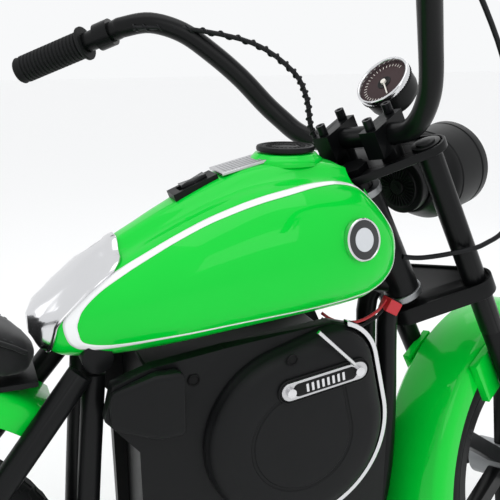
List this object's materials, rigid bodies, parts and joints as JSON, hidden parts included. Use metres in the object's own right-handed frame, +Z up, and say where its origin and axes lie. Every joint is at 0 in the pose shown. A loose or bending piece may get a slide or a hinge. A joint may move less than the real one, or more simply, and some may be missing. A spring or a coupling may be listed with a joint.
{
  "type": "ride-on motorcycle",
  "caption": "Child's battery ride-on cruiser motorcycle with tube frame, plastic tank and engine cover, turning fork, spinning wheels, twist throttle, brake levers and side stand.",
  "frame": {"origin": "centre of the rear axle, on the middle plane of the bike", "axes": "+X forward along the bike, +Y to the rider's left along the rear axle, +Z up from the ground"},
  "size_m": [1.1494, 0.6323, 0.8274],
  "materials": {
    "black_powder_coat": "satin",
    "green_gloss_plastic": "gloss",
    "black_satin_plastic": "satin",
    "chrome_trim": "polished",
    "brushed_aluminium": "satin",
    "zinc_steel": "satin",
    "black_rubber": "matte",
    "tyre_rubber": "matte",
    "seat_leatherette": "satin",
    "red_plastic": "gloss",
    "lamp_glass": "gloss",
    "white_plastic": "satin",
    "cable_sheath": "satin",
    "battery_case": "matte"
  },
  "bodies": {
    "frame": {"main_frame": "black_powder_coat", "lower_cradle": "black_powder_coat", "rear_stays": "black_powder_coat", "headset_cups": "brushed_aluminium", "tank_shell": "green_gloss_plastic", "tank_pad": "chrome_trim", "filler_cap": "black_satin_plastic", "info_plate": "brushed_aluminium", "switch_housing": "black_satin_plastic", "tank_badges": "chrome_trim", "engine_core": "black_satin_plastic", "engine_covers": "black_satin_plastic", "round_covers": "black_satin_plastic", "cover_trims": "chrome_trim", "name_plates": "brushed_aluminium", "plate_screws": "chrome_trim", "push_rods": "chrome_trim", "air_box": "black_satin_plastic", "battery_pack": "battery_case", "motor_controller": "brushed_aluminium", "charge_plug": "red_plastic", "charge_leads": "red_plastic", "seat_pan": "black_satin_plastic", "seat_pad": "seat_leatherette", "rear_fender": "green_gloss_plastic", "tail_lamp": "red_plastic", "foot_pegs": "black_powder_coat", "rear_axle": "zinc_steel", "motor_stator": "zinc_steel", "brake_caliper": "brushed_aluminium"},
    "switch": {"switch_rocker": "black_satin_plastic"},
    "stand": {"kick_stand": "black_powder_coat"},
    "rear_wheel": {"rear_hub": "brushed_aluminium", "rear_rim": "black_powder_coat", "rear_tyre": "tyre_rubber", "brake_disc": "zinc_steel"},
    "steering": {"steering_stem": "black_powder_coat", "upper_clamp": "black_powder_coat", "top_nuts": "black_powder_coat", "fork_upper_tubes": "black_powder_coat", "fork_lower_legs": "black_powder_coat", "bar_risers": "black_powder_coat", "riser_bolts": "black_powder_coat", "handlebar": "black_powder_coat", "left_grip": "black_rubber", "lever_perches": "black_powder_coat", "gauge_cup": "black_satin_plastic", "headlamp_bucket": "black_satin_plastic", "headlamp_lens": "lamp_glass", "horn": "black_powder_coat", "front_fender": "green_gloss_plastic", "front_axle": "zinc_steel", "control_cables": "cable_sheath"},
    "throttle": {"throttle_grip": "black_rubber"},
    "left_lever": {"brake_lever_left": "zinc_steel"},
    "right_lever": {"brake_lever_right": "zinc_steel"},
    "needle": {"gauge_needle": "white_plastic"},
    "front_wheel": {"front_hub": "brushed_aluminium", "front_rim": "black_powder_coat", "front_tyre": "tyre_rubber"}
  },
  "joints": [
    {"name": "steering", "type": "hinge", "parent": "frame", "child": "steering", "pos_m": [0.5, 0, 0.396], "axis": [-0.4384, 0, 0.8988], "range_deg": [-46, 1]},
    {"name": "rear_wheel_spin", "type": "hinge", "parent": "frame", "child": "rear_wheel", "pos_m": [0, 0, 0], "axis": [0, 1, 0], "continuous": true},
    {"name": "front_wheel_spin", "type": "hinge", "parent": "steering", "child": "front_wheel", "pos_m": [0.75123, 0.02188, -0.0015], "axis": [-0.3512, 0.9205, -0.1713], "continuous": true},
    {"name": "throttle_twist", "type": "hinge", "parent": "steering", "child": "throttle", "pos_m": [0.43304, -0.29223, 0.60765], "axis": [-0.1531, -0.9867, -0.0555], "range_deg": [0, 60], "stiffness_Nm_per_rad": 0.15},
    {"name": "left_lever_pull", "type": "hinge", "parent": "steering", "child": "left_lever", "pos_m": [0.30477, 0.21459, 0.54375], "axis": [-0.4384, 0, 0.8988], "range_deg": [0, 11], "stiffness_Nm_per_rad": 1},
    {"name": "right_lever_pull", "type": "hinge", "parent": "steering", "child": "right_lever", "pos_m": [0.47389, -0.2287, 0.62623], "axis": [0.4384, 0, -0.8988], "range_deg": [0, 11], "stiffness_Nm_per_rad": 1},
    {"name": "gauge_needle_sweep", "type": "hinge", "parent": "steering", "child": "needle", "pos_m": [0.54767, 0.03556, 0.48934], "axis": [-0.7469, -0.1651, 0.644], "range_deg": [-250, 0], "stiffness_Nm_per_rad": 0.0005},
    {"name": "kick_stand_fold", "type": "hinge", "parent": "frame", "child": "stand", "pos_m": [0.228, 0.062, -0.072], "axis": [0, 1, 0], "range_deg": [0, 88]},
    {"name": "switch_rock", "type": "hinge", "parent": "frame", "child": "switch", "pos_m": [0.326, 0, 0.39917], "axis": [0, 1, 0], "range_deg": [-8, 8]}
  ]
}
